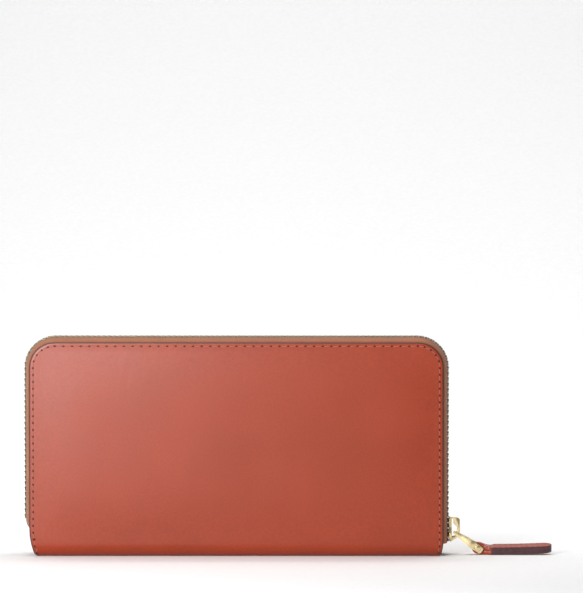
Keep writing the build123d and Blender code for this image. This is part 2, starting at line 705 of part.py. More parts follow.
def coin_lining():
    """A thin fabric bag between the walls, open at its top."""
    outer_y = COIN_HALF - COIN_WALL
    half = HALF_WIDTH - COIN_INSET - 1
    top = COIN_TOP - COIN_TAPE_DEPTH - 1
    bag = block((-half, -outer_y, COIN_BOTTOM), (half, outer_y, top))
    inner_y = outer_y - COIN_LINING
    inner_half = half - COIN_LINING
    return bag - block((-inner_half, -inner_y, COIN_BOTTOM + COIN_LINING), (inner_half, inner_y, top + 1))


def coin_tape(side):
    """An L along the pocket's mouth: sewn down inside the wall, and turned in towards the teeth."""
    half = HALF_WIDTH - COIN_INSET - 2
    wall = COIN_HALF - COIN_WALL
    top = COIN_TOP + COIN_TAPE / 2
    down_low, down_high = on_side(side, wall - COIN_TAPE, wall)
    across_low, across_high = on_side(side, COIN_TAPE_EDGE, wall)
    down = block((-half, down_low, top - COIN_TAPE_DEPTH), (half, down_high, top))
    across = block((-half, across_low, top - COIN_TAPE), (half, across_high, top))
    return down + across


def coin_teeth(side, phase):
    one = tooth(
        side,
        COIN_TOOTH_BACK,
        COIN_TOOTH_HEAD,
        0,
        COIN_TOOTH_THICKNESS,
        COIN_TOOTH_THICKNESS * 0.7,
        COIN_TAPE + 0.2,
        COIN_TAPE_EDGE,
        COIN_TOOTH_LENGTH,
    )
    start = COIN_SLIDER_X - COIN_TOOTH_LENGTH / 2 + phase * COIN_PITCH - COIN_PITCH / 2
    length = 2 * (HALF_WIDTH - COIN_ZIP_INSET) - COIN_SLIDER_LENGTH
    count = int(length / COIN_PITCH)
    upright = Rot(0, -90, 0) * one
    return Compound(children=[Pos(start - n * COIN_PITCH, 0, COIN_TOP) * upright for n in range(count)])


def coin_stops():
    """One staple across both tapes at the closed end's far side, and one on each tape at the slider's end."""
    half = COIN_TOOTH_THICKNESS / 2
    slot = COIN_TAPE / 2 + 0.1
    far_x = -(HALF_WIDTH - COIN_ZIP_INSET) - 1.0
    near_x = COIN_SLIDER_X + COIN_SLIDER_LENGTH / 2 + 0.6
    grip = COIN_TAPE_EDGE - 0.05
    made = []
    for x, inner in ((far_x, 0.0), (near_x, COIN_TAPE_EDGE - 0.35)):
        for side in (-1, 1):
            low, high = on_side(side, inner, COIN_TOOTH_BACK)
            cut_low, cut_high = on_side(side, grip, COIN_TOOTH_BACK + 1)
            jaw = block((x - 0.6, low, COIN_TOP - half), (x + 0.6, high, COIN_TOP + half))
            made.append(jaw - block((x - 1, cut_low, COIN_TOP - slot), (x + 1, cut_high, COIN_TOP + slot)))
    joined = made[0] + made[1]
    return Compound(children=[*joined.solids(), made[2], made[3]])


def coin_slider():
    """Two plates over and under the chain, a post between them past the last tooth, and an arch on top."""
    half = COIN_SLIDER_LENGTH / 2
    gap = COIN_TOOTH_THICKNESS / 2 + COIN_PLATE_GAP
    low_x, high_x = COIN_SLIDER_X - half, COIN_SLIDER_X + half
    wide = COIN_SLIDER_HALF
    over = block((low_x, -wide, COIN_TOP + gap), (high_x, wide, COIN_DECK))
    over = chamfer(over.edges().filter_by(Axis.Z), 0.9)
    over = chamfer(over.faces().sort_by(Axis.Z)[-1].edges(), 0.2)
    slim = COIN_SLIDER_UNDER
    under = block((low_x, -slim, COIN_TOP - gap - COIN_PLATE), (high_x, slim, COIN_TOP - gap))
    post_x = high_x - 1.6
    post = block((post_x, -COIN_POST_HALF, COIN_TOP - gap), (high_x - 0.4, COIN_POST_HALF, COIN_TOP + gap))
    arch_half, arch_high, bar = COIN_CROWN_HALF, COIN_CROWN_HEIGHT, COIN_CROWN_BAR
    x = COIN_SLIDER_X
    arch = polygon_xz(
        [
            (x - arch_half, COIN_DECK),
            (x + arch_half, COIN_DECK),
            (x + arch_half - 0.5, COIN_DECK + arch_high),
            (x - arch_half + 0.5, COIN_DECK + arch_high),
        ]
    )
    arch = fillet(arch.vertices().sort_by(Axis.Z)[-2:], 0.6)
    hole_half = arch_half - bar
    arch -= polygon_xz(
        [
            (x - hole_half, COIN_DECK),
            (x + hole_half, COIN_DECK),
            (x + hole_half - 0.2, COIN_DECK + arch_high - bar),
            (x - hole_half + 0.2, COIN_DECK + arch_high - bar),
        ]
    )
    return over + under + post + slab(arch, -COIN_CROWN_WIDTH / 2, COIN_CROWN_WIDTH / 2)


def coin_pull():
    """A flat puller with an eye round the little arch, lying along the closed zip."""
    half = COIN_PULL_WIDTH / 2
    thick = COIN_PULL_THICKNESS / 2
    tail = COIN_PULL_LENGTH
    body = block((-tail, -half, -thick), (0, half, thick))
    body = fillet(body.edges().filter_by(Axis.Z).group_by(Axis.X)[0], half * 0.8)
    body += Rot(90, 0, 0) * Cylinder(thick, COIN_PULL_WIDTH)
    eye = COIN_CROWN_WIDTH / 2 + EYE_CLEARANCE
    body -= block((-COIN_PULL_SLOT, -eye, -1), (-thick, eye, 1))
    hole = block((-tail + 2.4, -half * 0.4, -1), (-COIN_PULL_SLOT - 2.2, half * 0.4, 1))
    body -= fillet(hole.edges().filter_by(Axis.Z), half * 0.3)
    return Pos(COIN_SLIDER_X, 0, COIN_DECK + COIN_PULL_PIVOT) * body


# ---------------------------------------------------------------- the whole wallet
def build():
    parts["outer_leather_front"] = leather_front()
    parts["outer_leather_back"] = leather_back()
    parts["spine_lining"] = spine_lining()
    for name, side, phase in (("front", -1, 0.0), ("back", 1, 0.5)):
        cover_layers(name, side)
        parts[f"{name}_zip_tape"] = zip_tape(side)
        tooth_rows(name, side, phase)
        parts[f"{name}_zip_stop"] = end_stop(side)
        parts[f"{name}_seam_thread"] = seam(side)
        parts[f"{name}_left_gusset"] = gusset(side, -1)
        parts[f"{name}_right_gusset"] = gusset(side, 1)
        parts[f"coin_pocket_{name}"] = coin_wall(side)
        parts[f"coin_zip_{name}_tape"] = coin_tape(side)
        parts[f"coin_zip_{name}_teeth"] = coin_teeth(side, phase)
    parts["coin_pocket_lining"] = coin_lining()
    parts["coin_zip_stops"] = coin_stops()
    parts["coin_slider"] = coin_slider()
    parts["coin_puller"] = coin_pull()
    parts["slider_body"] = slider_body()
    parts["slider_crown"] = slider_crown()
    parts["pull_yoke"] = pull_yoke()
    parts["pull_pin"] = pull_pin()
    parts["pull_tab"] = pull_tab()
    parts["pull_tab_thread"] = tab_stitches()


build()
os.makedirs("parts", exist_ok=True)
for node, shape in parts.items():
    export_step(shape, f"parts/{node}.step")
hinge_y, hinge_z = fold_point(-1, FOLD_RADIUS, 45)
print("nodes", len(parts))
print("cover hinge y z", round(hinge_y, 3), round(hinge_z, 3))
print("puller pivot x z", round(PIVOT_X, 3), round(PIVOT_Z, 3))
print("pin x z", round(PIN_X, 3), round(PIN_HEIGHT, 3))
print("coin puller pivot x z", COIN_SLIDER_X, round(COIN_DECK + COIN_PULL_PIVOT, 3))
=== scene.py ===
import json
from math import cos, hypot, pi, radians, sin, sqrt, tan

import bpy
from mathutils import Matrix, Vector


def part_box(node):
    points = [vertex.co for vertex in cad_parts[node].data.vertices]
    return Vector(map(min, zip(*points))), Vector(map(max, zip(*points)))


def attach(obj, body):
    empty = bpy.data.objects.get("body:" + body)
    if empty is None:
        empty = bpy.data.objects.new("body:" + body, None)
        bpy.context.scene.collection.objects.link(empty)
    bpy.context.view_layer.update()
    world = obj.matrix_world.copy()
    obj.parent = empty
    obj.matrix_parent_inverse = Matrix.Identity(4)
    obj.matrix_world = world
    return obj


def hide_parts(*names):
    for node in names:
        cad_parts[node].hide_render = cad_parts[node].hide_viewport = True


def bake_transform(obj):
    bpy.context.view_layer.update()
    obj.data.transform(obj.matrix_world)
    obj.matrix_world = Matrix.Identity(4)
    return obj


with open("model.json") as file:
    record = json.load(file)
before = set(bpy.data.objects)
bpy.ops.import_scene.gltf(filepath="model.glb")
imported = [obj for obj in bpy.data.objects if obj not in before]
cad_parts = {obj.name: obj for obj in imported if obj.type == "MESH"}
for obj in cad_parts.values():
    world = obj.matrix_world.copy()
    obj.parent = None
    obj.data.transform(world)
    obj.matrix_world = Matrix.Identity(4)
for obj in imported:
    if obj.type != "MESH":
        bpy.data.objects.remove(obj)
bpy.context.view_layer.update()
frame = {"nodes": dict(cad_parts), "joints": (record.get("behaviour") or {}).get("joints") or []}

bl_info = {
    "name": "Zip-around wallet",
    "version": (1, 0, 0),
    "blender": (4, 5, 0),
    "location": "View3D > Sidebar > Wallet",
    "description": "Makes a long zip-around leather wallet, piece by piece, on its CAD frame",
    "category": "Object",
}

MM = 0.001


# ---------------------------------------------------------------- places read from the frame
def low(node):
    return Vector(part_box(node)[0])


def high(node):
    return Vector(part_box(node)[1])


def joint(name):
    return next(item for item in frame["joints"] if item["name"] == name)


FACE = -low("outer_leather_front").y
HALF_WIDTH = high("outer_leather_front").x
HEIGHT = high("outer_leather_front").z
LEATHER_INSIDE = high("back_board").y
TAPE_CREST = high("front_zip_tape").x
FOLD = 6 * MM
FOOT_DRAW = {1: 1.1 * MM, -1: 2.6 * MM}
FOOT_RISE = {1: 6.5 * MM, -1: 11 * MM}
FOOT_ROUND = 1.6 * MM
STACK = -high("front_card_slot_4").y
COIN = high("coin_pocket_back").y
PIN = Vector(joint("tab_swing")["pos_m"])


# ---------------------------------------------------------------- colours
def linear(hex_colour):
    """An sRGB hex colour, such as "#b8543a", as linear red, green, blue and alpha."""
    channels = [int(hex_colour[place : place + 2], 16) / 255 for place in (1, 3, 5)]
    return tuple(c / 12.92 if c <= 0.04045 else ((c + 0.055) / 1.055) ** 2.4 for c in channels) + (1.0,)


def shade(colour, amount):
    return tuple(min(1.0, channel * amount) for channel in colour[:3]) + (1.0,)


# ---------------------------------------------------------------- what a user would change
def size_property(name, description, millimetres):
    size = millimetres * MM
    return bpy.props.FloatProperty(name=name, description=description, default=size, unit="LENGTH")


def colour_property(name, description, hex_colour):
    return bpy.props.FloatVectorProperty(
        name=name, description=description, size=4, subtype="COLOR", default=linear(hex_colour)
    )


class WalletSizes(bpy.types.PropertyGroup):
    leather: size_property("Leather", "Thickness of the outer leather", 1.2)
    painted_edge: size_property("Painted edge", "Width of paint rolled over onto the face", 0.55)
    crown: size_property("Crown", "How far the middle of a cover stands proud", 0.6)
    tape: size_property("Tape", "Thickness of the zip tape", 0.55)
    seam_inset: size_property("Seam inset", "From the cover's edge to its seam", 1.8)
    side_stitch: size_property("Side stitch", "Pitch of the stitches up both sides", 3.25)
    top_stitch: size_property("Top stitch", "Pitch of the stitches along the top", 4.0)
    thread: size_property("Thread", "Thickness of the sewing thread", 0.5)
    metal_bevel: size_property("Metal bevel", "Softening of the brass pieces' edges", 0.28)
    gusset: size_property("Gusset", "Thickness of a side gusset", 0.5)


class WalletColours(bpy.types.PropertyGroup):
    leather: colour_property("Leather", "Waxed calf on the outside", "#9b340f")
    edge: colour_property("Edge paint", "Paint on the cut edges", "#462826")
    tab_edge: colour_property("Tab paint", "Paint on the puller's tab", "#45262b")
    inside: colour_property("Inside", "Leather of the slots and pockets", "#a9603a")
    lining: colour_property("Lining", "Cotton twill inside", "#a87a54")
    tape: colour_property("Tape", "Woven zip tape", "#ad663c")
    thread: colour_property("Thread", "Waxed polyester thread", "#b05a3e")
    brass: colour_property("Brass", "Pale polished brass", "#f0dcaa")


def sizes():
    return bpy.context.scene.wallet_sizes


def colours():
    return bpy.context.scene.wallet_colours


# ---------------------------------------------------------------- materials
def add(tree, kind, inputs=None, **settings):
    """Adds a node, sets its settings, and gives each input a value or a link from another node's socket."""
    node = tree.nodes.new(kind)
    for name, value in settings.items():
        setattr(node, name, value)
    for name, value in (inputs or {}).items():
        if isinstance(value, bpy.types.NodeSocket):
            tree.links.new(value, node.inputs[name])
        else:
            node.inputs[name].default_value = value
    return node


def start_material(name, roughness, metallic=0.0, ior=1.5):
    material = bpy.data.materials.get(name)
    if material:
        return material, None, None
    material = bpy.data.materials.new(name)
    material.use_nodes = True
    tree = material.node_tree
    shader = tree.nodes["Principled BSDF"]
    shader.inputs["Roughness"].default_value = roughness
    shader.inputs["Metallic"].default_value = metallic
    if metallic < 0.5:
        shader.inputs["IOR"].default_value = ior
    return material, tree, shader


def two_colours(tree, factor, first, second):
    ramp = add(tree, "ShaderNodeValToRGB", {"Fac": factor})
    ramp.color_ramp.elements[0].color = first
    ramp.color_ramp.elements[1].color = second
    ramp.color_ramp.elements[0].position = 0.3
    ramp.color_ramp.elements[1].position = 0.7
    return ramp.outputs["Color"]


def bump(tree, height, strength, distance, under=None):
    inputs = {"Height": height, "Strength": strength, "Distance": distance}
    if under:
        inputs["Normal"] = under
    return add(tree, "ShaderNodeBump", inputs).outputs["Normal"]


def calf(name, colour, roughness, grain_mm=0.55, depth=0.10):
    """Full-grain calf, drum-dyed and waxed: fine pores, cloudy dye, and a sheen that scuffs duller."""
    material, tree, shader = start_material(name, roughness, ior=1.48)
    if not tree:
        return material
    place = add(tree, "ShaderNodeTexCoord").outputs["Object"]
    cloudy = {"Vector": place, "Scale": 28.0, "Detail": 5.0, "Roughness": 0.55}
    clouds = add(tree, "ShaderNodeTexNoise", cloudy)
    speckle = add(tree, "ShaderNodeTexNoise", {"Vector": place, "Scale": 1150.0, "Detail": 3.0})
    dye = two_colours(tree, clouds.outputs["Fac"], shade(colour, 0.93), shade(colour, 1.05))
    specks = two_colours(tree, speckle.outputs["Fac"], (0.80, 0.78, 0.77, 1), (1.0, 1.0, 1.0, 1))
    mix = add(tree, "ShaderNodeMix", data_type="RGBA", blend_type="MULTIPLY")
    mix.inputs[0].default_value = 1.0
    tree.links.new(dye, mix.inputs[6])
    tree.links.new(specks, mix.inputs[7])
    tree.links.new(mix.outputs[2], shader.inputs["Base Color"])
    grain = {"Vector": place, "Scale": 1 / (grain_mm * MM)}
    pores = add(tree, "ShaderNodeTexVoronoi", grain, feature="DISTANCE_TO_EDGE")
    wrinkled = {"Vector": place, "Scale": 260.0, "Detail": 6.0, "Roughness": 0.6}
    wrinkles = add(tree, "ShaderNodeTexNoise", wrinkled)
    fine = bump(tree, pores.outputs["Distance"], depth, 0.25 * MM)
    shader_normal = bump(tree, wrinkles.outputs["Fac"], 0.10, 0.5 * MM, fine)
    tree.links.new(shader_normal, shader.inputs["Normal"])
    dull = add(
        tree,
        "ShaderNodeMapRange",
        {"Value": clouds.outputs["Fac"], "To Min": roughness - 0.06, "To Max": roughness + 0.08},
    )
    tree.links.new(dull.outputs["Result"], shader.inputs["Roughness"])
    return material


def outer_calf():
    return calf("waxed calf", colours().leather, 0.36)


def inner_calf():
    return calf("matt inside calf", colours().inside, 0.58, grain_mm=0.7, depth=0.14)


def edge_paint(name, base):
    """Acrylic edge paint, rolled on in coats: dark, slightly glossy and a little uneven."""
    material, tree, shader = start_material(name, 0.38)
    if not tree:
        return material
    place = add(tree, "ShaderNodeTexCoord").outputs["Object"]
    uneven = add(tree, "ShaderNodeTexNoise", {"Vector": place, "Scale": 700.0, "Detail": 3.0})
    colour = two_colours(tree, uneven.outputs["Fac"], shade(base, 0.75), shade(base, 1.3))
    tree.links.new(colour, shader.inputs["Base Color"])
    tree.links.new(bump(tree, uneven.outputs["Fac"], 0.25, 0.2 * MM), shader.inputs["Normal"])
    return material


def painted_hole_shade():
    """Painted shade for the needle hole at each end of a stitch: the hole's recess drawn as dark colour."""
    material, tree, shader = start_material("needle hole", 0.8)
    if not tree:
        return material
    place = add(tree, "ShaderNodeTexCoord").outputs["Object"]
    uneven = add(tree, "ShaderNodeTexNoise", {"Vector": place, "Scale": 3000.0})
    # Two dark colours: painted shade in the needle hole's recess.
    colour = two_colours(tree, uneven.outputs["Fac"], linear("#240504"), linear("#45100b"))
    tree.links.new(colour, shader.inputs["Base Color"])
    return material


def waxed_thread():
    """Three-ply waxed polyester: the plies' twist shows as slanted ridges 0.35 mm apart."""
    material, tree, shader = start_material("waxed thread", 0.5)
    if not tree:
        return material
    place = add(tree, "ShaderNodeTexCoord").outputs["Object"]
    bands = {"Vector": place, "Scale": 1 / (2 * pi * 0.35 * MM) * 2, "Distortion": 0.6}
    twist = add(tree, "ShaderNodeTexWave", bands, wave_type="BANDS", bands_direction="DIAGONAL")
    thread = colours().thread
    colour = two_colours(tree, twist.outputs["Fac"], shade(thread, 0.72), shade(thread, 1.12))
    tree.links.new(colour, shader.inputs["Base Color"])
    tree.links.new(bump(tree, twist.outputs["Fac"], 0.4, 0.08 * MM), shader.inputs["Normal"])
    return material


def math(tree, operation, first, second=0.0, third=0.0):
    return add(tree, "ShaderNodeMath", {0: first, 1: second, 2: third}, operation=operation).outputs[0]


def herringbone(name, colour, length, width, thread_mm=0.62, rib_mm=1.7):
    """Polyester twill tape: diagonal threads that turn back at every rib, as herringbone.

    The UV map runs along the tape. Real threads are 0.3 mm apart. They are coarser here, so that they show.
    """
    material, tree, shader = start_material(name, 0.78)
    if not tree:
        return material
    uv = add(tree, "ShaderNodeTexCoord").outputs["UV"]
    parts = add(tree, "ShaderNodeSeparateXYZ", {"Vector": uv})
    along = math(tree, "MULTIPLY", parts.outputs["X"], length)
    across = math(tree, "MULTIPLY", parts.outputs["Y"], width)
    rib = math(tree, "PINGPONG", across, rib_mm * MM)
    diagonal = math(tree, "ADD", along, rib)
    angle = math(tree, "MULTIPLY", diagonal, 2 * pi / (thread_mm * MM))
    ridge = math(tree, "MULTIPLY_ADD", math(tree, "SINE", angle), 0.5, 0.5)
    place = add(tree, "ShaderNodeTexCoord").outputs["Object"]
    wear = add(tree, "ShaderNodeTexNoise", {"Vector": place, "Scale": 90.0})
    twill = two_colours(tree, ridge, shade(colour, 0.62), shade(colour, 1.12))
    tone = two_colours(tree, wear.outputs["Fac"], (0.86, 0.84, 0.82, 1), (1, 1, 1, 1))
    mix = add(tree, "ShaderNodeMix", data_type="RGBA", blend_type="MULTIPLY")
    mix.inputs[0].default_value = 1.0
    tree.links.new(twill, mix.inputs[6])
    tree.links.new(tone, mix.inputs[7])
    tree.links.new(mix.outputs[2], shader.inputs["Base Color"])
    tree.links.new(bump(tree, ridge, 0.55, 0.15 * MM), shader.inputs["Normal"])
    shader.inputs["Sheen Weight"].default_value = 0.12
    return material


def cotton(name, colour, thread_mm=0.6, roughness=0.85):
    """Plain-woven cotton: threads over and under each other in both directions."""
    material, tree, shader = start_material(name, roughness)
    if not tree:
        return material
    place = add(tree, "ShaderNodeTexCoord").outputs["Object"]
    parts = add(tree, "ShaderNodeSeparateXYZ", {"Vector": place})
    step = pi / (thread_mm * MM)
    warp = math(tree, "SINE", math(tree, "MULTIPLY", parts.outputs["X"], step))
    weft = math(tree, "SINE", math(tree, "MULTIPLY", parts.outputs["Z"], step))
    weave = math(tree, "MULTIPLY_ADD", math(tree, "MULTIPLY", warp, weft), 0.5, 0.5)
    tone = two_colours(tree, weave, shade(colour, 0.78), shade(colour, 1.1))
    tree.links.new(tone, shader.inputs["Base Color"])
    tree.links.new(bump(tree, weave, 0.4, 0.15 * MM), shader.inputs["Normal"])
    return material


def fibre_board():
    """Bonded leather fibre board: matt brown with short pale fibres."""
    material, tree, shader = start_material("leather fibre board", 0.85)
    if not tree:
        return material
    place = add(tree, "ShaderNodeTexCoord").outputs["Object"]
    stretched = add(tree, "ShaderNodeMapping", {"Vector": place, "Scale": (1.0, 1.0, 4.0)})
    strands = {"Vector": stretched.outputs["Vector"], "Scale": 500.0, "Detail": 5.0}
    fibres = add(tree, "ShaderNodeTexNoise", strands)
    tone = two_colours(tree, fibres.outputs["Fac"], linear("#5e4330"), linear("#8a6a4c"))
    tree.links.new(tone, shader.inputs["Base Color"])
    tree.links.new(bump(tree, fibres.outputs["Fac"], 0.3, 0.2 * MM), shader.inputs["Normal"])
    return material


def polished_brass(name="polished brass", roughness=0.2, tone=1.0):
    """Cast brass, tumbled and polished, with hairline scratches that spread its highlights."""
    material, tree, shader = start_material(name, roughness, metallic=1.0)
    if not tree:
        return material
    place = add(tree, "ShaderNodeTexCoord").outputs["Object"]
    handling = add(tree, "ShaderNodeTexNoise", {"Vector": place, "Scale": 420.0, "Detail": 4.0})
    base = shade(colours().brass, tone)
    metal = two_colours(tree, handling.outputs["Fac"], shade(base, 0.88), shade(base, 1.04))
    tree.links.new(metal, shader.inputs["Base Color"])
    brushed = add(tree, "ShaderNodeMapping", {"Vector": place, "Scale": (1.0, 9.0, 1.0)})
    scratches = {"Vector": brushed.outputs["Vector"], "Scale": 900.0, "Detail": 2.0}
    hairlines = add(tree, "ShaderNodeTexNoise", scratches)
    tree.links.new(bump(tree, hairlines.outputs["Fac"], 0.05, 0.1 * MM), shader.inputs["Normal"])
    dull = add(
        tree,
        "ShaderNodeMapRange",
        {"Value": handling.outputs["Fac"], "To Min": roughness - 0.05, "To Max": roughness + 0.10},
    )
    tree.links.new(dull.outputs["Result"], shader.inputs["Roughness"])
    return material


# ---------------------------------------------------------------- modelling helpers
def deselect():
    if bpy.context.mode != "OBJECT":
        bpy.ops.object.mode_set(mode="OBJECT")
    bpy.ops.object.select_all(action="DESELECT")


def pick(obj):
    deselect()
    obj.select_set(True)
    bpy.context.view_layer.objects.active = obj
    return obj


def apply_all(obj):
    pick(obj)
    for modifier in list(obj.modifiers):
        bpy.ops.object.modifier_apply(modifier=modifier.name)


def smooth(obj, angle=35):
    pick(obj)
    bpy.ops.object.shade_smooth_by_angle(angle=radians(angle))


def finish_piece(obj, body, materials=None, replaces=()):
    """Gives the piece its materials, hides the CAD parts that it stands for, and attaches it to what it rides
    on.
    """
    for material in materials or []:
        obj.data.materials.append(material)
    if replaces:
        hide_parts(*replaces)
    if body:
        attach(obj, body)
    return obj


def cut_sheet(name, columns, rows, place):
    """A flat sheet, cut as a grid and laid where place(u, v) says, with its own UV map from 0 to 1."""
    deselect()
    bpy.ops.mesh.primitive_grid_add(x_subdivisions=columns, y_subdivisions=rows, size=2, calc_uvs=True)
    obj = bpy.context.object
    obj.name = name
    obj.data.name = name
    for vertex in obj.data.vertices:
        vertex.co = place((vertex.co.x + 1) / 2, (vertex.co.y + 1) / 2)
    return obj


def thicken(obj, thickness, outwards=-1.0, edge_slot=0, edge_bevel=0.0, bevel_slot=-1):
    """Gives a sheet its thickness, on its inner side, and rounds its cut edges when an edge bevel is given.
    """
    solid = obj.modifiers.new("thickness", "SOLIDIFY")
    solid.thickness = thickness
    solid.offset = outwards
    solid.use_even_offset = True
    solid.material_offset_rim = edge_slot
    if edge_bevel:
        rounding = obj.modifiers.new("rounded edge", "BEVEL")
        rounding.width = edge_bevel
        rounding.segments = 2
        rounding.limit_method = "ANGLE"
        rounding.angle_limit = radians(60)
        rounding.material = bevel_slot
        rounding.harden_normals = False
    apply_all(obj)
    return obj


def from_frame(node, name, bevel, segments=2, angle=30):
    """A copy of a CAD node, joined up and with its edges softened."""
    source = frame["nodes"][node]
    obj = source.copy()
    obj.data = source.data.copy()
    for key in [key for key in obj.keys() if key.startswith("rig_")]:
        del obj[key]
    obj.parent = None
    obj.matrix_world = Matrix.Identity(4)
    obj.name = name
    obj.data.name = name
    bpy.context.scene.collection.objects.link(obj)
    obj.data.materials.clear()
    pick(obj)
    bpy.ops.object.mode_set(mode="EDIT")
    bpy.ops.mesh.select_all(action="SELECT")
    bpy.ops.mesh.remove_doubles(threshold=0.001 * MM)
    bpy.ops.mesh.dissolve_limited(angle_limit=radians(2))
    bpy.ops.object.mode_set(mode="OBJECT")
    if bevel:
        rounding = obj.modifiers.new("softened edges", "BEVEL")
        rounding.width = bevel
        rounding.segments = segments
        rounding.limit_method = "ANGLE"
        rounding.angle_limit = radians(angle)
        rounding.use_clamp_overlap = True
        apply_all(obj)
    smooth(obj)
    return obj


def spread_copies(template, name, places):
    """One copy of the template at each place, joined as one piece. Each copy has its own mesh."""
    copies = []
    for matrix in places:
        copy = template.copy()
        copy.data = template.data.copy()
        copy.data.transform(matrix)
        bpy.context.scene.collection.objects.link(copy)
        copies.append(copy)
    bpy.data.objects.remove(template)
    deselect()
    for copy in copies:
        copy.select_set(True)
    bpy.context.view_layer.objects.active = copies[0]
    bpy.ops.object.join()
    joined = bpy.context.object
    joined.name = name
    joined.data.name = name
    return joined


# ---------------------------------------------------------------- outline of a cover
CORNER_RADIUS = 12 * MM
CORNER_X = HALF_WIDTH - CORNER_RADIUS
CORNER_Z = HEIGHT - CORNER_RADIUS


def half_width_at(z, end=1):
    """Half of the cover's width at a height: drawn in at the foot, more at the left, and round at the top."""
    if z > CORNER_Z:
        return CORNER_X + sqrt(max(0.0, CORNER_RADIUS**2 - (z - CORNER_Z) ** 2))
    share = max(0.0, 1 - max(z, 0.0) / FOOT_RISE[end])
    nose = max(0.0, FOOT_ROUND - z)
    return HALF_WIDTH - FOOT_DRAW[end] * share**1.5 - FOOT_ROUND + sqrt(max(0.0, FOOT_ROUND**2 - nose**2))


def edge_distance(x, z):
    """How far a point on a cover lies inside the cover's outline."""
    if z > CORNER_Z and abs(x) > CORNER_X:
        return CORNER_RADIUS - hypot(abs(x) - CORNER_X, z - CORNER_Z)
    return min(half_width_at(z, 1 if x > 0 else -1) - abs(x), HEIGHT - z)


def wrap_rows():
    """(y, z) of each row down the front cover, round the spine and up the back, finer where it bends."""
    paint = sizes().painted_edge
    rows = [(-FACE, HEIGHT), (-FACE, HEIGHT - 0.3 * paint), (-FACE, HEIGHT - paint)]
    for step in range(3, 17):
        rows.append((-FACE, CORNER_Z + (CORNER_RADIUS - paint) * cos(radians(90 * (step - 1) / 15))))
    highest = rows[-1][1]
    for step in range(1, 25):
        rows.append((-FACE, highest + (FOLD - highest) * step / 24))
    centre = FACE - FOLD
    for step in range(1, 13):
        turn = radians(90 * step / 12)
        rows.append((-centre - FOLD * cos(turn), FOLD - FOLD * sin(turn)))
    for step in range(1, 4):
        rows.append((-centre + centre * step / 3, 0.0))
    back = [(-y, z) for y, z in rows[:-1]]
    return rows + back[::-1]


def eased(share):
    share = min(1.0, max(0.0, share))
    return share * (2 - share)


def crown_at(x, z):
    """How far a cover stands proud inside its seam, over board that has taken up the wallet's fullness."""
    margin = 4 * MM
    slope = 26 * MM
    across = eased((HALF_WIDTH - abs(x) - margin) / slope)
    up = eased((min(HEIGHT - z, z - FOLD) - margin) / slope)
    return sizes().crown * across * up


def rolled_edge(x, z):
    """How far the painted edge has rolled inwards, as a quarter round."""
    paint = sizes().painted_edge
    share = max(0.0, 1 - edge_distance(x, z) / paint)
    return 0.55 * paint * (1 - sqrt(max(0.0, 1 - share**2)))


class WALLET_OT_leather_wrap(bpy.types.Operator):
    """The outer leather: one wrap from the front cover, round the spine, to the back cover"""

    bl_idname = "wallet.leather_wrap"
    bl_label = "Leather wrap"

    def execute(self, context):
        rows = wrap_rows()
        last = len(rows) - 1
        columns = 76
        paint = sizes().painted_edge
        strip = (0.0, 0.3 * paint, paint)

        def across(column, z):
            """X of a column, with three columns at each end kept for the painted edge."""
            end = -1 if column <= columns / 2 else 1
            from_end = min(column, columns - column)
            outline = half_width_at(z, end)
            inset = outline - paint
            if z > CORNER_Z:
                inset = CORNER_X + sqrt(max(0.0, (CORNER_RADIUS - paint) ** 2 - (z - CORNER_Z) ** 2))
            if from_end < 3:
                return end * (outline + (inset - outline) * strip[from_end] / paint)
            return end * inset * (1 - (from_end - 2) / (columns / 2 - 2))

        def place(u, v):
            y, z = rows[round(v * last)]
            x = across(round(u * columns), z)
            proud = crown_at(x, z) - rolled_edge(x, z)
            return Vector((x, y + (proud if y > 0 else -proud if y < 0 else 0.0), z))

        obj = cut_sheet("outer_leather_wrap", columns, last, place)
        obj.data.materials.append(outer_calf())
        obj.data.materials.append(edge_paint("edge paint", colours().edge))
        obj.data.materials.append(inner_calf())
        turn_outwards(obj, Vector((0, 0, HEIGHT / 2)))
        for face in obj.data.polygons:
            if edge_distance(face.center.x, face.center.z) < 0.9 * paint:
                face.material_index = 1
        thicken(obj, sizes().leather, edge_slot=1)
        for face in obj.data.polygons:
            inward = face.normal.y * (1 if face.center.y < 0 else -1) > 0.7
            if face.material_index == 0 and (inward or (face.normal.z > 0.7 and face.center.z < 2 * FOLD)):
                face.material_index = 2
        smooth(obj, 50)
        finish_piece(obj, None, replaces=("outer_leather_front", "outer_leather_back"))
        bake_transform(obj)
        return {"FINISHED"}


def turn_outwards(obj, middle):
    """Turns a sheet's faces over if they look towards its middle."""
    outward = sum(face.normal.dot(face.center - middle) * face.area for face in obj.data.polygons)
    if outward < 0:
        pick(obj)
        bpy.ops.object.mode_set(mode="EDIT")
        bpy.ops.mesh.select_all(action="SELECT")
        bpy.ops.mesh.flip_normals()
        bpy.ops.object.mode_set(mode="OBJECT")


# ---------------------------------------------------------------- stitches
def seam_places(inset):
    """(x, z, angle) of each stitch round a cover, from one foot, over the top, to the other."""
    places = []
    radius = CORNER_RADIUS - inset
    start = 1.6 * MM
    count = round((CORNER_Z - start) / sizes().side_stitch)
    for number in range(count):
        z = start + (number + 0.5) * (CORNER_Z - start) / count
        places += [(half_width_at(z, 1) - inset, z, 90), (inset - half_width_at(z, -1), z, 90)]
    bends = round(radius * pi / 2 / sizes().side_stitch)
    for number in range(bends):
        turn = 90 * (number + 0.5) / bends
        x = CORNER_X + radius * cos(radians(turn))
        z = CORNER_Z + radius * sin(radians(turn))
        places += [(x, z, turn + 90), (-x, z, 90 - turn)]
    tops = round(2 * CORNER_X / sizes().top_stitch)
    for number in range(tops):
        places.append((-CORNER_X + (number + 0.5) * 2 * CORNER_X / tops, HEIGHT - inset, 0))
    return places


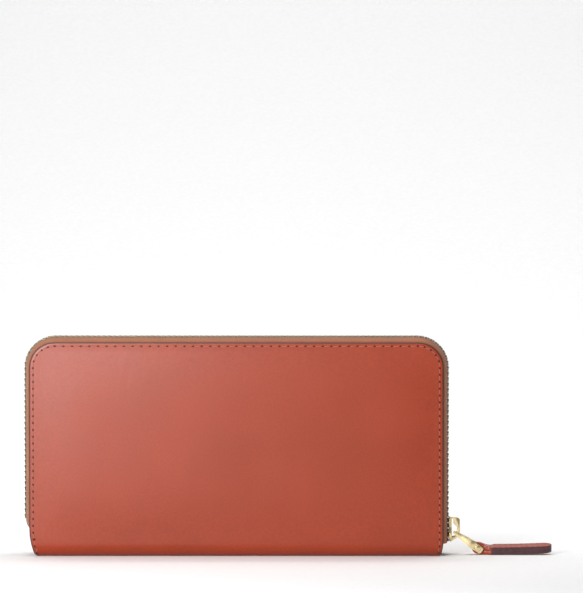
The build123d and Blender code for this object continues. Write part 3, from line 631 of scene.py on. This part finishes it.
def one_stitch(length, thick):
    """A stitch lying along X: a drop of thread, fuller in the middle and pulled down at both ends."""
    deselect()
    bpy.ops.mesh.primitive_uv_sphere_add(segments=8, ring_count=7, radius=1.0)
    obj = bpy.context.object
    for vertex in obj.data.vertices:
        x, y, z = vertex.co
        vertex.co = (z * length / 2, x * thick / 2, y * thick * 0.36 - abs(z) ** 3 * thick * 0.25)
    smooth(obj, 80)
    return obj


def hole_shade_disc(across):
    """A flattened disc that carries a needle hole's painted shade, drawn out a little along the seam by the
    thread's pull.
    """
    deselect()
    bpy.ops.mesh.primitive_uv_sphere_add(segments=10, ring_count=5, radius=across / 2)
    obj = bpy.context.object
    for vertex in obj.data.vertices:
        vertex.co.x *= 1.25
        vertex.co.z *= 0.13
    smooth(obj, 80)
    return obj


def on_face(x, y, z, angle, side, height):
    """Lays something modelled flat on XY onto a cover's face, turned by an angle within the face."""
    stand = Matrix.Rotation(radians(90), 4, "X") if side < 0 else Matrix.Rotation(radians(-90), 4, "X")
    turn = Matrix.Rotation(radians(-angle if side < 0 else angle), 4, "Y")
    return Matrix.Translation((x, y + side * height, z)) @ turn @ stand


def fold_offset(z):
    """How far the leather's face has curved away from the cover's plane at a height in the fold."""
    if z >= FOLD:
        return 0.0
    return FOLD - sqrt(max(0.0, FOLD**2 - (FOLD - z) ** 2))


class WALLET_OT_cover_seams(bpy.types.Operator):
    """The seams round both covers: thread, and dark discs of painted shade at the needle holes that it dips
    into
    """

    bl_idname = "wallet.cover_seams"
    bl_label = "Cover seams"

    def execute(self, context):
        for name, side in (("front", -1), ("back", 1)):
            stitches = []
            holes = []
            for x, z, angle in seam_places(sizes().seam_inset):
                pitch = sizes().top_stitch if angle == 0 else sizes().side_stitch
                y = side * (FACE - fold_offset(z))
                slant = angle + 7
                stitches.append((on_face(x, y, z, slant, side, 0.06 * MM), pitch))
                for end in (-0.5, 0.5):
                    along = end * pitch
                    hole_x = x + along * cos(radians(angle))
                    hole_z = z + along * sin(radians(angle))
                    holes.append(on_face(hole_x, y, hole_z, angle, side, 0.02 * MM))
            pitch = sizes().side_stitch
            scaled = [matrix @ Matrix.Diagonal((own / pitch, 1, 1, 1)) for matrix, own in stitches]
            thread = spread_copies(one_stitch(pitch * 0.78, sizes().thread), f"{name}_seam_stitches", scaled)
            finish_piece(thread, f"{name}_cover", [waxed_thread()], (f"{name}_seam_thread",))
            # Dark discs of painted shade at every needle hole.
            hole_shading = spread_copies(hole_shade_disc(0.86 * MM), f"{name}_needle_hole_shade", holes)
            finish_piece(hole_shading, f"{name}_cover", [painted_hole_shade()])
        return {"FINISHED"}


# ---------------------------------------------------------------- zip round the wallet
TAPE_START = low("front_zip_tape").z
TAPE_END = TAPE_START + 4.6 * MM
TAPE_RUN = CORNER_Z - TAPE_START
TAPE_BEND = pi / 2 * CORNER_RADIUS
TAPE_TOP = 2 * CORNER_X
TAPE_DOWN = CORNER_Z - TAPE_END
TAPE_LENGTH = TAPE_RUN + 2 * TAPE_BEND + TAPE_TOP + TAPE_DOWN
TAPE_EDGE = 1.2 * MM
TAPE_MARGIN = 6 * MM
SLIDER_SPREAD = 1.55 * MM


def on_corner(centre_x, turn):
    x = centre_x + CORNER_RADIUS * cos(turn)
    return x, CORNER_Z + CORNER_RADIUS * sin(turn), cos(turn), sin(turn)


def along_tape(distance):
    """(x, z, outward x, outward z) on the cover's outline, this far along the tape."""
    if distance < TAPE_RUN:
        return HALF_WIDTH, TAPE_START + distance, 1.0, 0.0
    distance -= TAPE_RUN
    if distance < TAPE_BEND:
        turn = distance / CORNER_RADIUS
        return on_corner(CORNER_X, turn)
    distance -= TAPE_BEND
    if distance < TAPE_TOP:
        return CORNER_X - distance, HEIGHT, 0.0, 1.0
    distance -= TAPE_TOP
    if distance < TAPE_BEND:
        turn = pi / 2 + distance / CORNER_RADIUS
        return on_corner(-CORNER_X, turn)
    distance -= TAPE_BEND
    return -HALF_WIDTH, CORNER_Z - distance, -1.0, 0.0


def tape_section(share):
    """(out, distance from the middle plane) across the tape, from its free edge to its sewn margin."""
    crest = TAPE_CREST - HALF_WIDTH
    reach = LEATHER_INSIDE
    bulge = 0.68
    if share < bulge:
        y = TAPE_EDGE + (reach - TAPE_EDGE) * share / bulge
        out = crest - (crest - 0.35 * MM) * (y / reach) ** 2.2
        return out, y
    inside = (share - bulge) / (1 - bulge)
    return 0.35 * MM - (TAPE_MARGIN + 0.35 * MM) * inside, reach


def parted(z, x):
    """How far the tape's edge stands aside of the slider's post, at the lower right end."""
    if x < HALF_WIDTH * 0.9:
        return 0.0
    slider_low, slider_high = low("slider_body").z, high("slider_body").z
    share = (slider_high - 2 * MM - z) / (0.5 * (slider_high - slider_low))
    return SLIDER_SPREAD * min(1.0, max(0.0, share))


class WALLET_OT_zip_tapes(bpy.types.Operator):
    """The two halves of the woven zip tape, bulging out between the covers"""

    bl_idname = "wallet.zip_tapes"
    bl_label = "Zip tapes"

    def execute(self, context):
        for name, side in (("front", -1), ("back", 1)):
            cells = 190

            def place(u, v):
                x, z, out_x, out_z = along_tape(u * TAPE_LENGTH)
                out, y = tape_section(v)
                aside = parted(z, x) * max(0.0, 1 - v * 1.6)
                pucker = 0.05 * MM * sin(2 * pi * u * TAPE_LENGTH / (2.54 * MM)) * max(0.0, 1 - 3 * v)
                tuck = 0.0
                if out_x < -0.5:
                    tuck = 3.4 * MM * max(0.0, 1 - (z - TAPE_END) / (5.2 * MM)) ** 1.5
                out = out + pucker - (tuck if v < 0.7 else 0.0)
                return Vector((x + out_x * out, side * (y + aside), z + out_z * out))

            obj = cut_sheet(f"{name}_woven_zip_tape", cells, 18, place)
            obj.data.materials.append(herringbone("herringbone tape", colours().tape, TAPE_LENGTH, 19 * MM))
            turn_outwards(obj, Vector((0, 0, HEIGHT / 2)))
            thicken(obj, sizes().tape)
            smooth(obj, 60)
            finish_piece(obj, f"{name}_cover", replaces=(f"{name}_zip_tape",))
        return {"FINISHED"}


class WALLET_OT_zip_teeth(bpy.types.Operator):
    """The big zip's brass teeth and the stops at its end"""

    bl_idname = "wallet.zip_teeth"
    bl_label = "Zip teeth"

    def execute(self, context):
        # The teeth take 0.3 of the brass colour's brightness, much darker than the slider's brass.
        metal = polished_brass("darkened zip brass", 0.34, tone=0.30)
        for name in ("front", "back"):
            for node in (f"{name}_teeth_side", f"{name}_teeth_top", f"{name}_zip_stop"):
                obj = from_frame(node, f"{node}_brass", 0.16 * MM, segments=1)
                finish_piece(obj, f"{name}_cover", [metal], (node,))
        return {"FINISHED"}


# ---------------------------------------------------------------- slider and puller
class WALLET_OT_slider(bpy.types.Operator):
    """The big slider: its body, and the arch that the puller hooks round"""

    bl_idname = "wallet.slider"
    bl_label = "Slider"

    def execute(self, context):
        for node in ("slider_body", "slider_crown"):
            obj = from_frame(node, f"{node}_brass", sizes().metal_bevel)
            finish_piece(obj, "zip_slider", [polished_brass()], (node,))
        return {"FINISHED"}


class WALLET_OT_puller(bpy.types.Operator):
    """The brass yoke and its pin"""

    bl_idname = "wallet.puller"
    bl_label = "Puller yoke"

    def execute(self, context):
        for node, bevel in (("pull_yoke", sizes().metal_bevel), ("pull_pin", 0.15 * MM)):
            obj = from_frame(node, f"{node}_brass", bevel)
            finish_piece(obj, "pull_yoke", [polished_brass()], (node,))
        return {"FINISHED"}


STRAP_HEIGHT = 3.3 * MM
TAB_ROLL = radians(8)
TAB_CURL = 0.7 * MM
SHOULDER = PIN.x + 6.5 * MM


def tab_path():
    """(x, z) along the tab's strip: from its far end to the pin, round it, and back underneath."""
    tab_low, tab_high = low("pull_tab"), high("pull_tab")
    strap_top = tab_low.z + STRAP_HEIGHT
    radius = 2.65 * MM
    points = []
    for step in range(25):
        points.append((tab_high.x + (SHOULDER - tab_high.x) * step / 24, strap_top))
    start, end = radians(75), radians(282)
    lead = (PIN.x + radius * cos(start), PIN.z + radius * sin(start))
    for step in range(1, 7):
        share = step / 7
        ease = share * share * (3 - 2 * share)
        points.append((SHOULDER + (lead[0] - SHOULDER) * share, strap_top + (lead[1] - strap_top) * ease))
    for step in range(17):
        turn = start + (end - start) * step / 16
        points.append((PIN.x + radius * cos(turn), max(tab_low.z, PIN.z + radius * sin(turn))))
    for step in range(1, 27):
        points.append((PIN.x + 1.2 * MM + (tab_high.x - PIN.x - 1.2 * MM) * step / 26, tab_low.z))
    return points


def tab_rise(x, y):
    """How far the strap has lifted off the table: it rolls to the front, and its far end curls up."""
    share = min(1.0, max(0.0, (x - PIN.x - 2 * MM) / (SHOULDER - PIN.x)))
    along = max(0.0, (x - SHOULDER) / (high("pull_tab").x - SHOULDER))
    return share * (y + high("pull_tab").y) * tan(TAB_ROLL) + TAB_CURL * along**2


def tab_half_width(x):
    """Half of the strip's width: narrow in the yoke, full along the strap, and round at the far end."""
    tab_high = high("pull_tab")
    full = tab_high.y
    narrow = 2.6 * MM
    neck = PIN.x + 3.9 * MM
    if x < neck:
        return narrow
    if x < neck + 1.6 * MM:
        share = (x - neck) / (1.6 * MM)
        return narrow + (full - narrow) * sin(share * pi / 2)
    from_end = tab_high.x - x
    if from_end < full:
        return max(0.35 * MM, sqrt(max(0.0, full**2 - (full - from_end) ** 2)))
    return full


class WALLET_OT_leather_tab(bpy.types.Operator):
    """The puller's leather tab: a strip folded round the pin and sewn to itself, with painted edges"""

    bl_idname = "wallet.leather_tab"
    bl_label = "Leather tab"

    def execute(self, context):
        points = tab_path()
        last = len(points) - 1

        def place(u, v):
            x, z = points[round(v * last)]
            spread = x
            full_end = high("pull_tab").x
            if full_end - x < 4 * MM:
                share = 1 - (full_end - x) / (4 * MM)
                spread = full_end - 4 * MM * (1 - sin(share * pi / 2))
            return Vector((spread, (2 * u - 1) * tab_half_width(spread), z))

        obj = cut_sheet("folded_leather_tab", 16, last, place)
        obj.data.materials.append(outer_calf())
        obj.data.materials.append(edge_paint("tab edge paint", colours().tab_edge))
        turn_outwards(obj, Vector((PIN.x + 17 * MM, 0, PIN.z - 1.3 * MM)))
        thicken(obj, STRAP_HEIGHT / 2 - 0.01 * MM, edge_slot=1, edge_bevel=0.3 * MM, bevel_slot=1)
        for face in obj.data.polygons:
            if face.center.x < SHOULDER:
                face.material_index = 0
        for vertex in obj.data.vertices:
            vertex.co.z += tab_rise(vertex.co.x, vertex.co.y)
        smooth(obj, 50)
        finish_piece(obj, "pull_tab", replaces=("pull_tab",))
        self.fill_fold()
        self.stitch()
        return {"FINISHED"}

    def fill_fold(self):
        """The wedge of leather packed between the two layers, behind the pin."""
        deselect()
        bpy.ops.mesh.primitive_cube_add(size=2)
        obj = bpy.context.object
        obj.name = "tab_fold_wedge"
        bottom = low("pull_tab").z + 1.4 * MM
        near, far = PIN.x + 1.5 * MM, SHOULDER + 1.0 * MM
        for vertex in obj.data.vertices:
            x, y, z = vertex.co
            top = 2.6 * MM if x < 0 else 0.4 * MM
            vertex.co = (near if x < 0 else far, y * 2.5 * MM, bottom + (top if z > 0 else 0.0))
        smooth(obj, 30)
        finish_piece(obj, "pull_tab", [outer_calf()])

    def stitch(self):
        """Thread along both long edges and round the end, on the upper and the lower face."""
        tab_low, tab_high = low("pull_tab"), high("pull_tab")
        half = tab_high.y - 1.0 * MM
        start = SHOULDER + 0.5 * MM
        end = tab_high.x - tab_high.y
        pitch = 2.5 * MM
        places = []
        run = round((end - start) / pitch)
        for top in (True, False):
            z = tab_low.z + (STRAP_HEIGHT + 0.04 * MM if top else -0.02 * MM)
            lay = Matrix.Identity(4) if top else Matrix.Rotation(pi, 4, "X")
            for number in range(run):
                x = start + (number + 0.5) * pitch
                for y in (-half, half):
                    places.append(Matrix.Translation((x, y, z + tab_rise(x, y))) @ lay)
            for number in range(4):
                turn = radians(-90 + 180 * (number + 0.5) / 4)
                x, y = end + half * cos(turn), half * sin(turn)
                place = Matrix.Translation((x, y, z + tab_rise(x, y)))
                places.append(place @ Matrix.Rotation(turn + pi / 2, 4, "Z") @ lay)
        thread = spread_copies(one_stitch(1.9 * MM, 0.5 * MM), "tab_stitches", places)
        finish_piece(thread, "pull_tab", [waxed_thread()], ("pull_tab_thread",))


# ---------------------------------------------------------------- inside
class WALLET_OT_cover_linings(bpy.types.Operator):
    """Boards, linings and spine lining"""

    bl_idname = "wallet.cover_linings"
    bl_label = "Cover linings"

    def execute(self, context):
        lining = cotton("cotton lining", colours().lining)
        for name in ("front", "back"):
            board = from_frame(f"{name}_board", f"{name}_fibre_board", 0.1 * MM, segments=1)
            finish_piece(board, f"{name}_cover", [fibre_board()], (f"{name}_board",))
            cloth = from_frame(f"{name}_lining", f"{name}_cotton_lining", 0.15 * MM)
            finish_piece(cloth, f"{name}_cover", [lining], (f"{name}_lining",))
        spine = from_frame("spine_lining", "spine_cotton_lining", 0.15 * MM)
        finish_piece(spine, "back_cover", [lining], ("spine_lining",))
        return {"FINISHED"}


class WALLET_OT_card_slots(bpy.types.Operator):
    """The slip pocket and the card slots on each cover, with stitches along their edges"""

    bl_idname = "wallet.card_slots"
    bl_label = "Card slots"

    def execute(self, context):
        for name, side in (("front", -1), ("back", 1)):
            for node in [f"{name}_slip_pocket"] + [f"{name}_card_slot_{n}" for n in range(1, 5)]:
                obj = from_frame(node, f"{node}_leather", 0.18 * MM)
                finish_piece(obj, f"{name}_cover", [inner_calf()], (node,))
            self.sew(name, side)
        return {"FINISHED"}

    def sew(self, name, side):
        """Stitches down both sides of the slots, and down their middle, which parts them into two banks."""
        pitch = 3.4 * MM
        places = []
        lowest = low(f"{name}_card_slot_4").z + 2 * MM
        for number in range(1, 5):
            slot = f"{name}_card_slot_{number}"
            top = high(slot).z - 1.5 * MM
            bottom = high(f"{name}_card_slot_{number + 1}").z if number < 4 else lowest
            inner = high(slot).y if side < 0 else low(slot).y
            half = high(slot).x - 2.2 * MM
            count = int((top - bottom) / pitch)
            for step in range(count):
                z = top - (step + 0.5) * pitch
                for x in (-half, 0.0, half):
                    if abs(x) > 0 and z > high(slot).z - 5 * MM:
                        continue
                    places.append(on_face(x, inner, z, 90, -side, 0.05 * MM))
        thread = spread_copies(one_stitch(2.4 * MM, 0.5 * MM), f"{name}_slot_stitches", places)
        finish_piece(thread, f"{name}_cover", [waxed_thread()])


class WALLET_OT_gussets(bpy.types.Operator):
    """The four side gussets, folded like a bellows between the covers and the coin pocket"""

    bl_idname = "wallet.gussets"
    bl_label = "Gussets"

    def execute(self, context):
        for name, side in (("front", -1), ("back", 1)):
            for end_name, end in (("left", -1), ("right", 1)):
                self.fold(name, side, end_name, end)
        return {"FINISHED"}

    def fold(self, name, side, end_name, end):
        node = f"{name}_{end_name}_gusset"
        box_low, box_high = low(node), high(node)
        edge = max(abs(box_low.x), abs(box_high.x))
        depth = box_high.x - box_low.x
        thick = sizes().gusset
        inner = COIN + thick / 2
        outer = STACK - thick / 2
        radius = (outer - inner) / 2

        def place(u, v):
            z = box_low.z + (box_high.z - box_low.z) * v
            reach = depth * (0.45 + 0.55 * v) - radius - thick
            leaf = 0.42
            if u < leaf:
                x, y = edge - reach * u / leaf, inner
            elif u > 1 - leaf:
                x, y = edge - reach * (1 - u) / leaf, outer
            else:
                turn = pi * (u - leaf) / (1 - 2 * leaf)
                x = edge - reach - radius * sin(turn)
                y = (inner + outer) / 2 - radius * cos(turn)
            return Vector((end * x, side * y, z))

        obj = cut_sheet(f"{node}_leather", 44, 30, place)
        obj.data.materials.append(inner_calf())
        obj.data.materials.append(edge_paint("edge paint", colours().edge))
        thicken(obj, thick, outwards=0.0, edge_slot=1)
        pick(obj)
        bpy.ops.object.mode_set(mode="EDIT")
        bpy.ops.mesh.select_all(action="SELECT")
        bpy.ops.mesh.normals_make_consistent(inside=False)
        bpy.ops.object.mode_set(mode="OBJECT")
        smooth(obj, 50)
        finish_piece(obj, None, replaces=(node,))
        if side < 0:
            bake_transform(obj)
        else:
            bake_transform(obj)


class WALLET_OT_coin_pocket(bpy.types.Operator):
    """The coin pocket: leather walls, cotton bag, small zip, its slider and puller"""

    bl_idname = "wallet.coin_pocket"
    bl_label = "Coin pocket"

    def execute(self, context):
        metal = polished_brass("small zip brass", 0.26)
        for name in ("front", "back"):
            wall = from_frame(f"coin_pocket_{name}", f"coin_pocket_{name}_leather", 0.18 * MM)
            finish_piece(wall, "coin_pocket", [inner_calf()], (f"coin_pocket_{name}",))
            tape = from_frame(f"coin_zip_{name}_tape", f"coin_zip_{name}_woven_tape", 0.1 * MM, segments=1)
            weave = cotton("small zip tape", colours().tape, thread_mm=0.5)
            finish_piece(tape, "coin_pocket", [weave], (f"coin_zip_{name}_tape",))
            teeth = from_frame(f"coin_zip_{name}_teeth", f"coin_zip_{name}_teeth_brass", 0.1 * MM, segments=1)
            finish_piece(teeth, "coin_pocket", [metal], (f"coin_zip_{name}_teeth",))
        bag = from_frame("coin_pocket_lining", "coin_pocket_bag", 0.1 * MM, segments=1)
        lining = cotton("cotton lining", colours().lining)
        finish_piece(bag, "coin_pocket", [lining], ("coin_pocket_lining",))
        stops = from_frame("coin_zip_stops", "coin_zip_stops_brass", 0.1 * MM, segments=1)
        finish_piece(stops, "coin_pocket", [metal], ("coin_zip_stops",))
        for node in ("coin_slider", "coin_puller"):
            obj = from_frame(node, f"{node}_brass", 0.18 * MM)
            finish_piece(obj, node, [metal], (node,))
        return {"FINISHED"}


# ---------------------------------------------------------------- stage
FRAME_WIDTH = 0.2715
VIEW_DISTANCE = 2.0
VIEW_X = 0.0257
VIEW_Z = 0.1214


class WALLET_OT_stage(bpy.types.Operator):
    """Pale sweep, soft studio lights and the camera"""

    bl_idname = "wallet.stage"
    bl_label = "Stage"

    def execute(self, context):
        self.sweep()
        self.light("key", (-0.18, -0.50, 0.17), 0.17, 2.1)
        self.light("fill", (-0.7, -1.5, 0.9), 1.0, 5.0)
        self.light("top", (0.0, 0.1, 1.3), 1.4, 7.6)
        self.light("backdrop", (0.0, 0.35, 1.2), 1.2, 22, aim=(0.0, 2.2, 0.4))
        world = bpy.data.worlds.new("studio")
        world.use_nodes = True
        world.node_tree.nodes["Background"].inputs["Color"].default_value = (1, 1, 1, 1)
        world.node_tree.nodes["Background"].inputs["Strength"].default_value = 0.28
        context.scene.world = world
        context.scene.view_settings.view_transform = "Standard"
        self.camera(context)
        return {"FINISHED"}

    def sweep(self):
        """A floor that curves up into a backdrop."""
        deselect()
        bpy.ops.mesh.primitive_plane_add(size=1)
        obj = bpy.context.object
        obj.name = "sweep"
        obj.scale = (8, 6, 1)
        obj.location = (0, -0.5, 0)
        bpy.ops.object.transform_apply(location=True, rotation=False, scale=True)
        back = max(vertex.co.y for vertex in obj.data.vertices)
        bpy.ops.object.mode_set(mode="EDIT")
        bpy.ops.mesh.select_all(action="DESELECT")
        bpy.ops.object.mode_set(mode="OBJECT")
        for edge in obj.data.edges:
            edge.select = all(obj.data.vertices[v].co.y > back - MM for v in edge.vertices)
        bpy.ops.object.mode_set(mode="EDIT")
        bpy.ops.mesh.select_mode(type="EDGE")
        bpy.ops.mesh.extrude_edges_move(TRANSFORM_OT_translate={"value": (0, 0, 4)})
        bpy.ops.object.mode_set(mode="OBJECT")
        rounding = obj.modifiers.new("curve", "BEVEL")
        rounding.width = 1.4
        rounding.segments = 16
        rounding.limit_method = "ANGLE"
        apply_all(obj)
        smooth(obj, 60)
        material, tree, shader = start_material("pale paper", 0.8)
        place = add(tree, "ShaderNodeTexCoord").outputs["Object"]
        fibre = add(tree, "ShaderNodeTexNoise", {"Vector": place, "Scale": 300.0})
        paper = two_colours(tree, fibre.outputs["Fac"], linear("#f6f6f6"), linear("#fafafa"))
        tree.links.new(paper, shader.inputs["Base Color"])
        obj.data.materials.append(material)

    def light(self, name, at, size, power, aim=(0.02, 0.0, 0.05)):
        lamp = bpy.data.lights.new(name, "AREA")
        lamp.energy = power
        lamp.size = size
        obj = bpy.data.objects.new(name, lamp)
        obj.location = at
        obj.rotation_euler = (Vector(aim) - Vector(at)).to_track_quat("-Z", "Y").to_euler()
        bpy.context.scene.collection.objects.link(obj)

    def camera(self, context):
        lens = bpy.data.cameras.new("camera")
        lens.sensor_fit = "HORIZONTAL"
        lens.sensor_width = 36
        lens.lens = 36 * (VIEW_DISTANCE - FACE) / FRAME_WIDTH
        lens.clip_end = 20
        obj = bpy.data.objects.new("camera", lens)
        height = 0.17
        obj.location = (VIEW_X, -VIEW_DISTANCE, height)
        target = Vector((VIEW_X, -FACE, VIEW_Z))
        obj.rotation_euler = (target - obj.location).to_track_quat("-Z", "Y").to_euler()
        context.scene.collection.objects.link(obj)
        context.scene.camera = obj


# ---------------------------------------------------------------- panel and registration
PIECES = (
    WALLET_OT_stage,
    WALLET_OT_leather_wrap,
    WALLET_OT_cover_seams,
    WALLET_OT_zip_tapes,
    WALLET_OT_zip_teeth,
    WALLET_OT_slider,
    WALLET_OT_puller,
    WALLET_OT_leather_tab,
    WALLET_OT_cover_linings,
    WALLET_OT_card_slots,
    WALLET_OT_gussets,
    WALLET_OT_coin_pocket,
)


class WALLET_PT_panel(bpy.types.Panel):
    """Lists the wallet's sizes, colours and pieces"""

    bl_idname = "WALLET_PT_panel"
    bl_label = "Wallet"
    bl_space_type = "VIEW_3D"
    bl_region_type = "UI"
    bl_category = "Wallet"

    def draw(self, context):
        for group in (context.scene.wallet_sizes, context.scene.wallet_colours):
            column = self.layout.column()
            for name in group.bl_rna.properties.keys():
                if name not in ("rna_type", "name"):
                    column.prop(group, name)
        for piece in PIECES:
            self.layout.operator(piece.bl_idname)


CLASSES = (WalletSizes, WalletColours, *PIECES, WALLET_PT_panel)


def register():
    for item in CLASSES:
        bpy.utils.register_class(item)
    bpy.types.Scene.wallet_sizes = bpy.props.PointerProperty(type=WalletSizes)
    bpy.types.Scene.wallet_colours = bpy.props.PointerProperty(type=WalletColours)


def unregister():
    del bpy.types.Scene.wallet_colours
    del bpy.types.Scene.wallet_sizes
    for item in reversed(CLASSES):
        bpy.utils.unregister_class(item)


def main():
    register()
    for piece in PIECES:
        group, name = piece.bl_idname.split(".")
        getattr(getattr(bpy.ops, group), name)()


if __name__ == "__main__":
    main()
